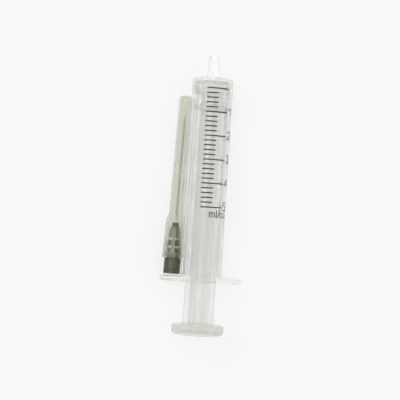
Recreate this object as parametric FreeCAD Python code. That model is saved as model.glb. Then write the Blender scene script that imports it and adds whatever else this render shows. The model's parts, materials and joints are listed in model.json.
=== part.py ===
import FreeCAD, Part

import math
import os

from FreeCAD import Placement, Rotation, Vector

# A 5 ml luer slip syringe with its needle, lying on a flat surface as it comes to rest.
# The barrel and the two-part plunger share one axis, and the needle in its sheath lies beside
# the barrel with its base against the finger flange. All sizes are millimetres and degrees.
#
# Each piece is first drawn about the Y axis with +Y towards the point. The barrel and plunger
# start at the barrel's open end, and the needle's pieces start at the hub's base. Laying down
# then tips each set nose down until it touches the surface Z = 0 at two places.

# Barrel: one clear moulding with a nozzle, a conical floor and a finger flange
NOMINAL_VOLUME = 5000.0
BORE_DIAMETER = 12.5
BARREL_WALL = 0.85
BARREL_LENGTH = 70.75
SHOULDER_RADIUS = 0.8
END_CONE_ANGLE = 8.0
END_WALL = 1.1
NOZZLE_LENGTH = 7.5
NOZZLE_TIP_DIAMETER = 3.98
NOZZLE_BORE_DIAMETER = 2.1
NOZZLE_EDGE_RADIUS = 0.2
NOZZLE_ROOT_RADIUS = 0.4
LUER_TAPER = 0.06
FLANGE_LENGTH = 28.5
FLANGE_DEPTH = 17.4
FLANGE_THICKNESS = 1.6
FLANGE_EDGE_RADIUS = 0.4
FLANGE_ROOT_RADIUS = 0.9
MOUTH_CHAMFER = 0.35
STOP_BEAD_HEIGHT = 0.15
STOP_BEAD_WIDTH = 1.0
STOP_BEAD_INSET = 3.2

# Printed scale: bars of ink round the barrel, one for each step of volume
MARK_STEP_VOLUME = 200.0
STEPS_PER_LONG_MARK = 5
MARK_WIDTH = 0.42
MARK_START_ANGLE = -14.3
SHORT_MARK_SWEEP = 33.2
LONG_MARK_SWEEP = 64.7
INK_THICKNESS = 0.03

# Plunger: one moulding of a sealing head, a rod of four ribs and a thumb rest
SEAL_CLEARANCE = 0.02
NOSE_CLEARANCE = 0.25
NOSE_GAP = 0.1
NOSE_FLAT_DIAMETER = 1.8
SEAL_SETBACK = 2.5
SEAL_WIDTH = 0.7
HEAD_PLATE_THICKNESS = 1.4
HEAD_LENGTH = 7.0
HEAD_DISC_THICKNESS = 1.5
RIB_CLEARANCE = 0.12
RIB_THICKNESS = 1.2
RIB_ROOT_RADIUS = 0.5
RIB_TIP_RADIUS = 0.15
RIB_END_RADIUS = 0.6
RIB_TURN_ANGLE = -31.0
THUMB_REST_DIAMETER = 18.0
THUMB_REST_THICKNESS = 3.1
THUMB_REST_STANDOFF = 15.1
THUMB_REST_INNER_RADIUS = 0.4
THUMB_REST_OUTER_RADIUS = 1.0
DISH_DIAMETER = 14.0
DISH_DEPTH = 0.8
GRIP_RING_SPACING = 2.0
GRIP_RING_WIDTH = 0.8
GRIP_RING_HEIGHT = 0.3

# Needle hub: a luer socket with two lugs, a ribbed body and a neck
SOCKET_MOUTH_DIAMETER = 4.3
SOCKET_DEPTH = 9.5
SOCKET_CHAMFER = 0.25
HUB_BASE_DIAMETER = 5.86
HUB_BASE_LENGTH = 5.3
HUB_BAND_DIAMETER = 5.3
HUB_BAND_LENGTH = 2.1
HUB_BODY_LENGTH = 8.9
HUB_BODY_FOOT_DIAMETER = 4.6
HUB_BODY_TOP_DIAMETER = 3.0
HUB_NECK_DIAMETER = 2.3
HUB_NECK_LENGTH = 1.45
HUB_RIB_COUNT = 4
HUB_RIB_WIDTH = 0.7
HUB_RIB_HEIGHT = 0.3
HUB_RIB_TURN_ANGLE = -8.0
HUB_RING_HEIGHT = 0.22
HUB_RING_WIDTH = 0.8
HUB_RING_HEIGHTS = (1.9, 4.7)
LUG_DIAMETER = 7.8
LUG_WIDTH = 3.4
LUG_THICKNESS = 1.0
LUG_TURN_ANGLE = 160.0
HUB_EDGE_RADIUS = 0.15

# Cannula: a 0.7 mm steel tube with a three-facet point, held in the hub by a bead of adhesive
CANNULA_DIAMETER = 0.72
CANNULA_BORE_DIAMETER = 0.42
CANNULA_EXPOSED_LENGTH = 38.0
CANNULA_SEAT_GAP = 0.02
BEVEL_ANGLE = 13.0
SIDE_BEVEL_ANGLE = 19.0
SIDE_BEVEL_TURN = 42.0
BOND_HEIGHT = 1.35
BOND_TOP_DIAMETER = 0.95
BOND_EDGE_RADIUS = 0.1
BOND_CUP_DIAMETER = 1.6
BOND_CUP_DEPTH = 0.9

# Sheath: a closed cap that grips the hub's band with ribs inside its skirt
SHEATH_SEAT_GAP = 0.1
SHEATH_GRIP_CLEARANCE = 0.1
SHEATH_LENGTH = 57.0
SHEATH_WALL = 0.7
SKIRT_MOUTH_DIAMETER = 7.6
SKIRT_END_DIAMETER = 6.5
SKIRT_LENGTH = 13.0
SKIRT_SHOULDER_LENGTH = 2.6
SHEATH_TUBE_DIAMETER = 5.2
SHEATH_TIP_DIAMETER = 4.6
SHEATH_TIP_RADIUS = 1.2
SHEATH_RIM_RADIUS = 0.2
SKIRT_BEND_RADIUS = 1.0
TUBE_BEND_RADIUS = 2.0
SHEATH_RIB_COUNT = 6
SHEATH_RIB_WIDTH = 0.5
SHEATH_RIB_LENGTH = 2.0
GRIP_RIDGE_COUNT = 12
GRIP_RIDGE_WIDTH = 0.5
GRIP_RIDGE_HEIGHT = 0.15
GRIP_RIDGE_INSET = 2.0

# Where the needle lies beside the barrel, its point leaning in towards the nozzle
NEEDLE_TO_BARREL_GAP = 0.35
HUB_TO_FLANGE_GAP = 0.4
NEEDLE_LEAN_ANGLE = 1.2

# Room that a cutting tool runs past the face that it starts from
CUT_OVERRUN = 1.0

ORIGIN = Vector(0, 0, 0)
AXIS = Vector(0, 1, 0)

# Sizes that follow from the ones above
bore_radius = BORE_DIAMETER / 2
barrel_radius = bore_radius + BARREL_WALL
nozzle_tip_y = BARREL_LENGTH + NOZZLE_LENGTH
nozzle_root_radius = NOZZLE_TIP_DIAMETER / 2 + NOZZLE_LENGTH * LUER_TAPER / 2
cone_slope = math.tan(math.radians(END_CONE_ANGLE))
end_wall_along_axis = END_WALL / math.cos(math.radians(END_CONE_ANGLE))
floor_corner_y = BARREL_LENGTH - end_wall_along_axis - (bore_radius - nozzle_root_radius) * cone_slope
shoulder_corner_y = floor_corner_y + end_wall_along_axis - BARREL_WALL * cone_slope
zero_mark_y = floor_corner_y - NOSE_GAP - SEAL_SETBACK
scale_length_per_volume = 1 / (math.pi * bore_radius**2)
rib_reach = bore_radius - STOP_BEAD_HEIGHT - RIB_CLEARANCE
seal_radius = bore_radius - SEAL_CLEARANCE
hub_band_end = HUB_BASE_LENGTH + HUB_BAND_LENGTH
hub_body_end = hub_band_end + HUB_BODY_LENGTH
hub_length = hub_body_end + HUB_NECK_LENGTH
cannula_tip = hub_length + CANNULA_EXPOSED_LENGTH
sheath_mouth = HUB_BASE_LENGTH + SHEATH_SEAT_GAP
sheath_end = sheath_mouth + SHEATH_LENGTH


def rounded_wire(corners, place):
    """Closed wire through corners (a, b) or (a, b, radius), with a tangent arc at each radius."""
    count = len(corners)
    points = [Vector(corner[0], corner[1], 0) for corner in corners]
    starts, middles, ends = [], [], []
    for i, corner in enumerate(corners):
        here = points[i]
        to_last = points[i - 1] - here
        to_next = points[(i + 1) % count] - here
        room = 0.49 * min(to_last.Length, to_next.Length)
        to_last.normalize()
        to_next.normalize()
        half_angle = to_last.getAngle(to_next) / 2
        radius = corner[2] if len(corner) > 2 else 0
        radius = min(radius, room * math.tan(half_angle))
        if radius <= 0:
            starts.append(here)
            middles.append(None)
            ends.append(here)
            continue
        tangent = radius / math.tan(half_angle)
        bisector = (to_last + to_next).normalize()
        starts.append(here + to_last * tangent)
        middles.append(here + bisector * (radius / math.sin(half_angle) - radius))
        ends.append(here + to_next * tangent)
    edges = []
    for i in range(count):
        if middles[i] is not None:
            arc = Part.Arc(place(starts[i]), place(middles[i]), place(ends[i]))
            edges.append(arc.toShape())
        run_start, run_end = ends[i], starts[(i + 1) % count]
        edges.append(Part.LineSegment(place(run_start), place(run_end)).toShape())
    return Part.Wire(edges)


def turned(corners):
    """Solid turned about the Y axis from an outline of (y, radius) corners."""
    face = Part.Face(rounded_wire(corners, lambda p: Vector(0, p.x, p.y)))
    return face.revolve(ORIGIN, AXIS, 360)


def pushed(corners, start_y, end_y):
    """Solid of an outline of (x, z) corners, carried along Y from start_y to end_y."""
    face = Part.Face(rounded_wire(corners, lambda p: Vector(p.x, start_y, p.y)))
    return face.extrude(Vector(0, end_y - start_y, 0))


def about_axis(shape, angle):
    """The shape turned about the Y axis, from +Z towards +X."""
    copy = shape.copy()
    copy.rotate(ORIGIN, AXIS, angle)
    return copy


def radial_bars(count, turn, inner, outer, width, start_y, end_y):
    """Straight bars along Y, evenly spaced about the axis, each from one radius to another."""
    half = width / 2
    corners = [(-half, inner), (half, inner), (half, outer), (-half, outer)]
    bar = pushed(corners, start_y, end_y)
    return [about_axis(bar, turn + i * 360 / count) for i in range(count)]


def edges_in_plane(shape, y, within):
    """The shape's edges in the plane at y that stay nearer the axis than the radius given."""
    found = []
    for edge in shape.Edges:
        if edge.Degenerated:
            continue
        points = edge.discretize(5)
        if all(abs(p.y - y) < 1e-6 and math.hypot(p.x, p.z) < within for p in points):
            found.append(edge)
    return found


def flange_plate():
    """Finger flange: flat above and below, round at its two ends, with a rounded rim."""
    end_radius = FLANGE_DEPTH / 2
    middle = FLANGE_LENGTH / 2 - end_radius
    top_left, top_right = Vector(-middle, 0, end_radius), Vector(middle, 0, end_radius)
    low_left, low_right = Vector(-middle, 0, -end_radius), Vector(middle, 0, -end_radius)
    right_tip, left_tip = Vector(FLANGE_LENGTH / 2, 0, 0), Vector(-FLANGE_LENGTH / 2, 0, 0)
    outline = Part.Wire([
        Part.LineSegment(top_left, top_right).toShape(),
        Part.Arc(top_right, right_tip, low_right).toShape(),
        Part.LineSegment(low_right, low_left).toShape(),
        Part.Arc(low_left, left_tip, top_left).toShape(),
    ])
    plate = Part.Face(outline).extrude(Vector(0, FLANGE_THICKNESS, 0))
    rim = [edge for edge in plate.Edges if abs(edge.BoundBox.YLength) < 1e-6]
    return plate.makeFillet(min(FLANGE_EDGE_RADIUS, 0.45 * FLANGE_THICKNESS), rim)


def barrel():
    """Tube, conical end, luer nozzle and finger flange, bored through as one moulding."""
    outside = turned([
        (0, 0),
        (0, barrel_radius),
        (shoulder_corner_y, barrel_radius, SHOULDER_RADIUS),
        (BARREL_LENGTH, nozzle_root_radius, NOZZLE_ROOT_RADIUS),
        (nozzle_tip_y, NOZZLE_TIP_DIAMETER / 2, NOZZLE_EDGE_RADIUS),
        (nozzle_tip_y, 0),
    ])
    body = outside.fuse(flange_plate()).removeSplitter()
    root = [
        edge
        for edge in edges_in_plane(body, FLANGE_THICKNESS, barrel_radius + 1e-3)
        if abs(edge.Curve.Radius - barrel_radius) < 1e-6
    ]
    step = FLANGE_DEPTH / 2 - barrel_radius - FLANGE_EDGE_RADIUS
    body = body.makeFillet(min(FLANGE_ROOT_RADIUS, 0.9 * step), root)

    bead_start = STOP_BEAD_INSET - STOP_BEAD_WIDTH / 2
    bead_end = STOP_BEAD_INSET + STOP_BEAD_WIDTH / 2
    bead_radius = bore_radius - STOP_BEAD_HEIGHT
    nozzle_bore_radius = NOZZLE_BORE_DIAMETER / 2
    cone_rise = (bore_radius - nozzle_bore_radius) * cone_slope
    inside = turned([
        (-CUT_OVERRUN, 0),
        (-CUT_OVERRUN, bore_radius + MOUTH_CHAMFER),
        (0, bore_radius + MOUTH_CHAMFER),
        (MOUTH_CHAMFER, bore_radius),
        (bead_start, bore_radius),
        (STOP_BEAD_INSET, bead_radius, STOP_BEAD_WIDTH),
        (bead_end, bore_radius),
        (floor_corner_y, bore_radius),
        (floor_corner_y + cone_rise, nozzle_bore_radius),
        (nozzle_tip_y + CUT_OVERRUN, nozzle_bore_radius),
        (nozzle_tip_y + CUT_OVERRUN, 0),
    ])
    return body.cut(inside)


def scale_marks():
    """One bar of ink for each step of volume, longer at each whole millilitre."""
    marks = []
    for i in range(round(NOMINAL_VOLUME / MARK_STEP_VOLUME) + 1):
        middle = zero_mark_y - i * MARK_STEP_VOLUME * scale_length_per_volume
        low, high = middle - MARK_WIDTH / 2, middle + MARK_WIDTH / 2
        inner, outer = barrel_radius, barrel_radius + INK_THICKNESS
        section = Part.makePolygon([
            Vector(0, low, inner),
            Vector(0, high, inner),
            Vector(0, high, outer),
            Vector(0, low, outer),
            Vector(0, low, inner),
        ])
        sweep = SHORT_MARK_SWEEP if i % STEPS_PER_LONG_MARK else LONG_MARK_SWEEP
        mark = Part.Face(section).revolve(ORIGIN, AXIS, sweep)
        marks.append(about_axis(mark, MARK_START_ANGLE))
    return Part.makeCompound(marks)


def rod(start_y, end_y):
    """Four ribs at right angles, with rounded roots and tips, turned as the plunger lies."""
    half = RIB_THICKNESS / 2
    corners = []
    for quarter in range(4):
        angle = math.radians(90 * quarter)
        for x, z, radius in (
            (half, half, RIB_ROOT_RADIUS),
            (half, rib_reach, RIB_TIP_RADIUS),
            (-half, rib_reach, RIB_TIP_RADIUS),
        ):
            turned_x = x * math.cos(angle) - z * math.sin(angle)
            turned_z = x * math.sin(angle) + z * math.cos(angle)
            corners.append((turned_x, turned_z, radius))
    return about_axis(pushed(corners, start_y, end_y), RIB_TURN_ANGLE)


def sealing_lip(front_y):
    """Rounded ring that bears on the bore, with its front edge at front_y."""
    back_y = front_y - SEAL_WIDTH
    root = bore_radius - NOSE_CLEARANCE
    return turned([
        (back_y, 0),
        (back_y, root),
        (back_y + SEAL_WIDTH / 4, seal_radius, SEAL_WIDTH / 4),
        (front_y, seal_radius, SEAL_WIDTH / 8),
        (front_y, 0),
    ])


def thumb_rest():
    """Disc at the rod's end, dished on the outside with raised grip rings."""
    inner_y = -THUMB_REST_STANDOFF
    outer_y = inner_y - THUMB_REST_THICKNESS
    rim = THUMB_REST_DIAMETER / 2
    floor_y = outer_y + DISH_DEPTH
    half_width = GRIP_RING_WIDTH / 2
    corners = [
        (inner_y, 0),
        (inner_y, rim, THUMB_REST_INNER_RADIUS),
        (outer_y, rim, THUMB_REST_OUTER_RADIUS),
        (outer_y, DISH_DIAMETER / 2, DISH_DEPTH / 4),
        (floor_y, DISH_DIAMETER / 2 - DISH_DEPTH, DISH_DEPTH / 4),
    ]
    ring_count = int((DISH_DIAMETER / 2 - GRIP_RING_WIDTH) / GRIP_RING_SPACING)
    for ring in range(ring_count, 0, -1):
        middle = (ring - 0.5) * GRIP_RING_SPACING
        corners += [
            (floor_y, middle + half_width, GRIP_RING_HEIGHT / 2),
            (floor_y - GRIP_RING_HEIGHT, middle, GRIP_RING_HEIGHT),
            (floor_y, middle - half_width, GRIP_RING_HEIGHT / 2),
        ]
    return turned(corners + [(floor_y, 0)])


def plunger():
    """Sealing head, rod and thumb rest as one moulding, drawn fully pushed in."""
    nose_radius = bore_radius - NOSE_CLEARANCE
    nose_corner_y = zero_mark_y + SEAL_SETBACK + NOSE_CLEARANCE * cone_slope
    nose_flat = NOSE_FLAT_DIAMETER / 2
    plate_back_y = zero_mark_y - HEAD_PLATE_THICKNESS
    nose = turned([
        (plate_back_y, 0),
        (plate_back_y, nose_radius),
        (nose_corner_y, nose_radius, NOSE_CLEARANCE),
        (nose_corner_y + (nose_radius - nose_flat) * cone_slope, nose_flat),
        (nose_corner_y + (nose_radius - nose_flat) * cone_slope, 0),
    ])
    head_back_y = zero_mark_y - HEAD_LENGTH
    disc = turned([
        (head_back_y, 0),
        (head_back_y, nose_radius),
        (head_back_y + HEAD_DISC_THICKNESS, nose_radius),
        (head_back_y + HEAD_DISC_THICKNESS, 0),
    ])
    rod_end_y = -THUMB_REST_STANDOFF - THUMB_REST_THICKNESS / 2
    body = rod(rod_end_y, zero_mark_y - HEAD_PLATE_THICKNESS / 2)
    lips = [sealing_lip(zero_mark_y), sealing_lip(head_back_y + SEAL_WIDTH)]
    body = body.fuse([disc, nose, thumb_rest()] + lips).removeSplitter()
    foot = edges_in_plane(body, -THUMB_REST_STANDOFF, rib_reach + RIB_THICKNESS)
    room = THUMB_REST_DIAMETER / 2 - THUMB_REST_INNER_RADIUS - rib_reach
    return body.makeFillet(min(RIB_END_RADIUS, 0.9 * room), foot)


def needle_hub():
    """Luer socket with lugs, a ribbed and ringed body, and a neck with a cup for adhesive."""
    base_radius, band_radius = HUB_BASE_DIAMETER / 2, HUB_BAND_DIAMETER / 2
    foot_radius, top_radius = HUB_BODY_FOOT_DIAMETER / 2, HUB_BODY_TOP_DIAMETER / 2
    neck_radius = HUB_NECK_DIAMETER / 2
    body_slope = (foot_radius - top_radius) / HUB_BODY_LENGTH
    core = turned([
        (0, 0),
        (0, base_radius, HUB_EDGE_RADIUS),
        (HUB_BASE_LENGTH, base_radius, HUB_EDGE_RADIUS),
        (HUB_BASE_LENGTH, band_radius),
        (hub_band_end, band_radius, HUB_EDGE_RADIUS),
        (hub_band_end, foot_radius),
        (hub_body_end, top_radius, 2 * HUB_EDGE_RADIUS),
        (hub_body_end, neck_radius),
        (hub_length, neck_radius, HUB_EDGE_RADIUS / 2),
        (hub_length, 0),
    ])
    envelope = turned([
        (HUB_BASE_LENGTH, 0),
        (HUB_BASE_LENGTH, band_radius),
        (hub_band_end, foot_radius + HUB_RIB_HEIGHT),
        (hub_body_end, top_radius + HUB_RIB_HEIGHT, 2 * HUB_EDGE_RADIUS),
        (hub_body_end, 0),
    ])
    bars = radial_bars(
        HUB_RIB_COUNT, HUB_RIB_TURN_ANGLE, 0, base_radius, HUB_RIB_WIDTH, HUB_BASE_LENGTH, hub_body_end
    )
    pieces = [bar.common(envelope) for bar in bars]
    for height in HUB_RING_HEIGHTS:
        low = hub_band_end + height - HUB_RING_WIDTH / 2
        high = low + HUB_RING_WIDTH
        low_radius = foot_radius - (low - hub_band_end) * body_slope + HUB_RING_HEIGHT
        high_radius = foot_radius - (high - hub_band_end) * body_slope + HUB_RING_HEIGHT
        pieces.append(turned([(low, 0), (low, low_radius), (high, high_radius), (high, 0)]))
    lug_tips = turned([
        (0, 0),
        (0, LUG_DIAMETER / 2, HUB_EDGE_RADIUS),
        (LUG_THICKNESS, LUG_DIAMETER / 2, HUB_EDGE_RADIUS),
        (LUG_THICKNESS, 0),
    ])
    half_lug = LUG_WIDTH / 2
    reach = LUG_DIAMETER / 2
    lug_bar = pushed(
        [(-half_lug, -reach), (half_lug, -reach), (half_lug, reach), (-half_lug, reach)],
        0,
        LUG_THICKNESS,
    )
    pieces.append(about_axis(lug_bar, LUG_TURN_ANGLE).common(lug_tips))

    mouth_radius = SOCKET_MOUTH_DIAMETER / 2
    socket_end_radius = mouth_radius - SOCKET_DEPTH * LUER_TAPER / 2
    seat_radius = CANNULA_DIAMETER / 2 + CANNULA_SEAT_GAP
    inside = turned([
        (-CUT_OVERRUN, 0),
        (-CUT_OVERRUN, mouth_radius + SOCKET_CHAMFER),
        (0, mouth_radius + SOCKET_CHAMFER),
        (SOCKET_CHAMFER, mouth_radius - SOCKET_CHAMFER * LUER_TAPER / 2),
        (SOCKET_DEPTH, socket_end_radius),
        (SOCKET_DEPTH + socket_end_radius - seat_radius, seat_radius),
        (hub_length - BOND_CUP_DEPTH, seat_radius),
        (hub_length - BOND_CUP_DEPTH / 3, BOND_CUP_DIAMETER / 2),
        (hub_length + CUT_OVERRUN, BOND_CUP_DIAMETER / 2),
        (hub_length + CUT_OVERRUN, 0),
    ])
    return core.fuse(pieces).removeSplitter().cut(inside)


def cannula():
    """Steel tube from the socket's end to the point, ground on three facets."""
    start = SOCKET_DEPTH + SOCKET_MOUTH_DIAMETER / 2
    length = cannula_tip - start
    tube = Part.makeCylinder(CANNULA_DIAMETER / 2, length, Vector(0, start, 0), AXIS)
    lumen = Part.makeCylinder(
        CANNULA_BORE_DIAMETER / 2, length + 2 * CUT_OVERRUN, Vector(0, start - CUT_OVERRUN, 0), AXIS
    )
    tube = tube.cut(lumen)
    reach = CANNULA_DIAMETER / math.tan(math.radians(BEVEL_ANGLE))
    width = 4 * CANNULA_DIAMETER
    facets = (
        (BEVEL_ANGLE, 0),
        (SIDE_BEVEL_ANGLE, SIDE_BEVEL_TURN),
        (SIDE_BEVEL_ANGLE, -SIDE_BEVEL_TURN),
    )
    for angle, turn in facets:
        block = Part.makeBox(width, 2 * reach, width, Vector(-width / 2, -2 * reach, 0))
        block.rotate(ORIGIN, Vector(1, 0, 0), -angle)
        block.translate(Vector(0, cannula_tip, -CANNULA_DIAMETER / 2))
        tube = tube.cut(about_axis(block, turn))
    return tube


def needle_bond():
    """Bead of adhesive that fills the neck's cup and stands round the cannula as a cone."""
    inner = CANNULA_DIAMETER / 2
    cup_radius = BOND_CUP_DIAMETER / 2
    return turned([
        (hub_length - BOND_CUP_DEPTH, inner),
        (hub_length - BOND_CUP_DEPTH, inner + CANNULA_SEAT_GAP),
        (hub_length - BOND_CUP_DEPTH / 3, cup_radius),
        (hub_length, cup_radius),
        (hub_length, HUB_NECK_DIAMETER / 2 - HUB_EDGE_RADIUS),
        (hub_length + BOND_HEIGHT, BOND_TOP_DIAMETER / 2, BOND_EDGE_RADIUS),
        (hub_length + BOND_HEIGHT, inner),
    ])


def needle_sheath():
    """Closed cap: a skirt with ribs inside that grip the hub, and a long tapered tube."""
    mouth_radius, skirt_radius = SKIRT_MOUTH_DIAMETER / 2, SKIRT_END_DIAMETER / 2
    tube_radius, tip_radius = SHEATH_TUBE_DIAMETER / 2, SHEATH_TIP_DIAMETER / 2
    skirt_end = sheath_mouth + SKIRT_LENGTH
    tube_start = skirt_end + SKIRT_SHOULDER_LENGTH
    outside = turned([
        (sheath_mouth, 0),
        (sheath_mouth, mouth_radius, SHEATH_RIM_RADIUS),
        (skirt_end, skirt_radius, SKIRT_BEND_RADIUS),
        (tube_start, tube_radius, TUBE_BEND_RADIUS),
        (sheath_end, tip_radius, SHEATH_TIP_RADIUS),
        (sheath_end, 0),
    ])
    ridge_start = sheath_mouth + GRIP_RIDGE_INSET
    skirt_slope = (mouth_radius - skirt_radius) / SKIRT_LENGTH
    ridge_envelope = turned([
        (ridge_start, 0),
        (ridge_start, mouth_radius - GRIP_RIDGE_INSET * skirt_slope),
        (skirt_end, skirt_radius + GRIP_RIDGE_HEIGHT, SKIRT_BEND_RADIUS),
        (tube_start, tube_radius),
        (tube_start, 0),
    ])
    ridges = radial_bars(
        GRIP_RIDGE_COUNT,
        0,
        mouth_radius - SHEATH_WALL,
        mouth_radius,
        GRIP_RIDGE_WIDTH,
        ridge_start,
        tube_start,
    )
    body = outside.fuse([ridge.common(ridge_envelope) for ridge in ridges])
    inside = turned([
        (sheath_mouth - CUT_OVERRUN, 0),
        (sheath_mouth - CUT_OVERRUN, mouth_radius - SHEATH_WALL),
        (sheath_mouth, mouth_radius - SHEATH_WALL),
        (skirt_end, skirt_radius - SHEATH_WALL, SKIRT_BEND_RADIUS),
        (tube_start, tube_radius - SHEATH_WALL, TUBE_BEND_RADIUS),
        (sheath_end - SHEATH_WALL, tip_radius - SHEATH_WALL, SHEATH_TIP_RADIUS - SHEATH_WALL / 2),
        (sheath_end - SHEATH_WALL, 0),
    ])
    body = body.cut(inside).removeSplitter()
    grip_radius = HUB_BAND_DIAMETER / 2 + SHEATH_GRIP_CLEARANCE
    ribs = radial_bars(
        SHEATH_RIB_COUNT,
        0,
        grip_radius,
        mouth_radius - SHEATH_WALL / 2,
        SHEATH_RIB_WIDTH,
        sheath_mouth,
        sheath_mouth + SHEATH_RIB_LENGTH,
    )
    rib_envelope = turned([
        (sheath_mouth, 0),
        (sheath_mouth, mouth_radius - SHEATH_WALL / 2),
        (skirt_end, skirt_radius - SHEATH_WALL / 2),
        (skirt_end, 0),
    ])
    return body.fuse([rib.common(rib_envelope) for rib in ribs]).removeSplitter()


def resting_dip(rear, front):
    """Angle that an axis dips, lying on two rounded edges of (place on axis, radius, rounding)."""
    along = (front[0] - front[2]) - (rear[0] - rear[2])
    drop = (rear[1] - rear[2]) - (front[1] - front[2])
    slack = (rear[2] - front[2]) / math.hypot(along, drop)
    return math.atan2(drop, along) + math.asin(slack)


def resting_height(dip, edges):
    """Height of the axis at its zero point, so that the lowest of the edges just touches."""
    heights = []
    for place, radius, rounding in edges:
        below_axis = (place - rounding) * math.sin(dip) + (radius - rounding) * math.cos(dip)
        heights.append(below_axis + rounding)
    return max(heights)


def barrel_rest():
    """How the barrel lies: its placement, with the origin under the middle of its length."""
    flange_edge = (FLANGE_THICKNESS, FLANGE_DEPTH / 2, FLANGE_EDGE_RADIUS)
    shoulder_edge = (shoulder_corner_y, barrel_radius, SHOULDER_RADIUS)
    dip = resting_dip(flange_edge, shoulder_edge)
    height = resting_height(dip, (flange_edge, shoulder_edge))
    nose_edge = NOZZLE_TIP_DIAMETER / 2 - NOZZLE_EDGE_RADIUS
    nose = (nozzle_tip_y - NOZZLE_EDGE_RADIUS) * math.cos(dip) + nose_edge * math.sin(dip)
    tail_edge = THUMB_REST_DIAMETER / 2 - THUMB_REST_OUTER_RADIUS
    tail_y = -THUMB_REST_STANDOFF - THUMB_REST_THICKNESS + THUMB_REST_OUTER_RADIUS
    tail = tail_y * math.cos(dip) - tail_edge * math.sin(dip)
    middle = (nose + NOZZLE_EDGE_RADIUS + tail - THUMB_REST_OUTER_RADIUS) / 2
    return Placement(Vector(0, -middle, height), Rotation(Vector(-1, 0, 0), math.degrees(dip)))


def needle_rest(barrel_placement):
    """How the needle lies: on its sheath, base to the flange, point leaning to the barrel."""
    rim_edge = (sheath_mouth + SHEATH_RIM_RADIUS, SKIRT_MOUTH_DIAMETER / 2, SHEATH_RIM_RADIUS)
    ridge_radius = SKIRT_END_DIAMETER / 2 + GRIP_RIDGE_HEIGHT
    ridge_edge = (sheath_mouth + SKIRT_LENGTH, ridge_radius, 0)
    tip_edge = (sheath_end, SHEATH_TIP_DIAMETER / 2, SHEATH_TIP_RADIUS)
    lug_edge = (LUG_THICKNESS, LUG_DIAMETER / 2, 0)
    dip = resting_dip(rim_edge, tip_edge)
    height = resting_height(dip, (rim_edge, ridge_edge, tip_edge, lug_edge))
    flange_face = barrel_placement.multVec(Vector(0, FLANGE_THICKNESS, height - FLANGE_DEPTH / 2))
    base_y = flange_face.y + HUB_TO_FLANGE_GAP
    skirt_height = height - sheath_mouth * math.sin(dip)
    axis_there = barrel_placement.multVec(Vector(0, base_y + sheath_mouth - flange_face.y, 0))
    apart = barrel_radius + SKIRT_MOUTH_DIAMETER / 2 + NEEDLE_TO_BARREL_GAP
    skirt_x = -math.sqrt(apart**2 - (axis_there.z - skirt_height) ** 2)
    base_x = skirt_x - sheath_mouth * math.tan(math.radians(NEEDLE_LEAN_ANGLE))
    lean = Rotation(Vector(0, 0, -1), NEEDLE_LEAN_ANGLE)
    lean = lean.multiply(Rotation(Vector(-1, 0, 0), math.degrees(dip)))
    return Placement(Vector(base_x, base_y, height), lean)


def main():
    os.makedirs("parts", exist_ok=True)
    barrel_placement = barrel_rest()
    needle_placement = needle_rest(barrel_placement)
    pieces = (
        ("barrel", barrel(), barrel_placement),
        ("scale_marks", scale_marks(), barrel_placement),
        ("plunger", plunger(), barrel_placement),
        ("needle_hub", needle_hub(), needle_placement),
        ("cannula", cannula(), needle_placement),
        ("needle_bond", needle_bond(), needle_placement),
        ("needle_sheath", needle_sheath(), needle_placement),
    )
    for name, shape, placement in pieces:
        shape.Placement = placement.multiply(shape.Placement)
        shape.exportStep(os.path.join("parts", name + ".step"))


main()
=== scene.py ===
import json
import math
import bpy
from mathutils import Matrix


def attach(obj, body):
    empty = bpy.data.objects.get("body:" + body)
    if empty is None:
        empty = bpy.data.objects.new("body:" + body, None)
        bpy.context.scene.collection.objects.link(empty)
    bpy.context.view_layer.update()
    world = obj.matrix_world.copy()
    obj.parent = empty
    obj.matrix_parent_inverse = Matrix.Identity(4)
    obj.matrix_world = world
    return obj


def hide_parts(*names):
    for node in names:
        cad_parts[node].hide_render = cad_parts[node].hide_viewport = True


bl_info = {
    "name": "Syringe with its needle",
    "version": (1, 0, 0),
    "blender": (4, 5, 0),
    "location": "View3D > Sidebar > Syringe",
    "description": "Builds a clear two-part syringe with a printed scale, and its needle in a sheath",
    "category": "Object",
}

import bpy
import numpy as np
from bpy.props import FloatProperty, FloatVectorProperty, IntProperty, PointerProperty

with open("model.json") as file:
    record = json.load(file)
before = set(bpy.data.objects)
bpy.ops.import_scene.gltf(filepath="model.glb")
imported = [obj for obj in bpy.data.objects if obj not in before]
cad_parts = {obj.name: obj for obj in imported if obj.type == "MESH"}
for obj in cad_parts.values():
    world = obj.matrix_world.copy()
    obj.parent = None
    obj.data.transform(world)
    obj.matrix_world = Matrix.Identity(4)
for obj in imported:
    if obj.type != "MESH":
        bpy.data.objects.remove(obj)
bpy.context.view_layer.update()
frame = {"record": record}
NOZZLE = next(m for m in frame["record"]["mounts"] if m["name"] == "luer_nozzle")

# Radii of moulded edges, from crisp to full, in metres
CRISP = 0.00005
KEEN = 0.00008
FINE = 0.0001
SLIGHT = 0.0002
SOFT = 0.0003
FULL = 0.0004

# Ledges that part two rings of a profile, in metres: a hair's, and a wider one
HAIR = 0.00001
LEDGE = 0.00002

# Radius of the smallest ring about a pole, in metres
POLE = 0.0001

# Points round each piece's axis
BARREL_SIDES = 256
NEEDLE_SIDES = 360
CANNULA_SIDES = 96

# Points on a plunger rib's edge, corner, flank and half root, and how they crowd along the flank
# toward the corner
RIB_POINTS = (3, 6, 26, 8)
RIB_CROWDING = 1.4

# Rings along the dish's floor, the hub's ribbed body, the cannula's point and the bead's side
DISH_RINGS = 90
BODY_RINGS = 150
POINT_RINGS = 24
BEAD_RINGS = 16

# Width over which a rib of the hub or the sheath rises to its height, in metres
RIB_BLEND = 0.00012

# How much a luer cone's radius shrinks along its length
LUER_SLOPE = 0.03

# Keeps a divisor from being nought
TINY = 1e-6


# Sizes and colours that a user may change


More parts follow.
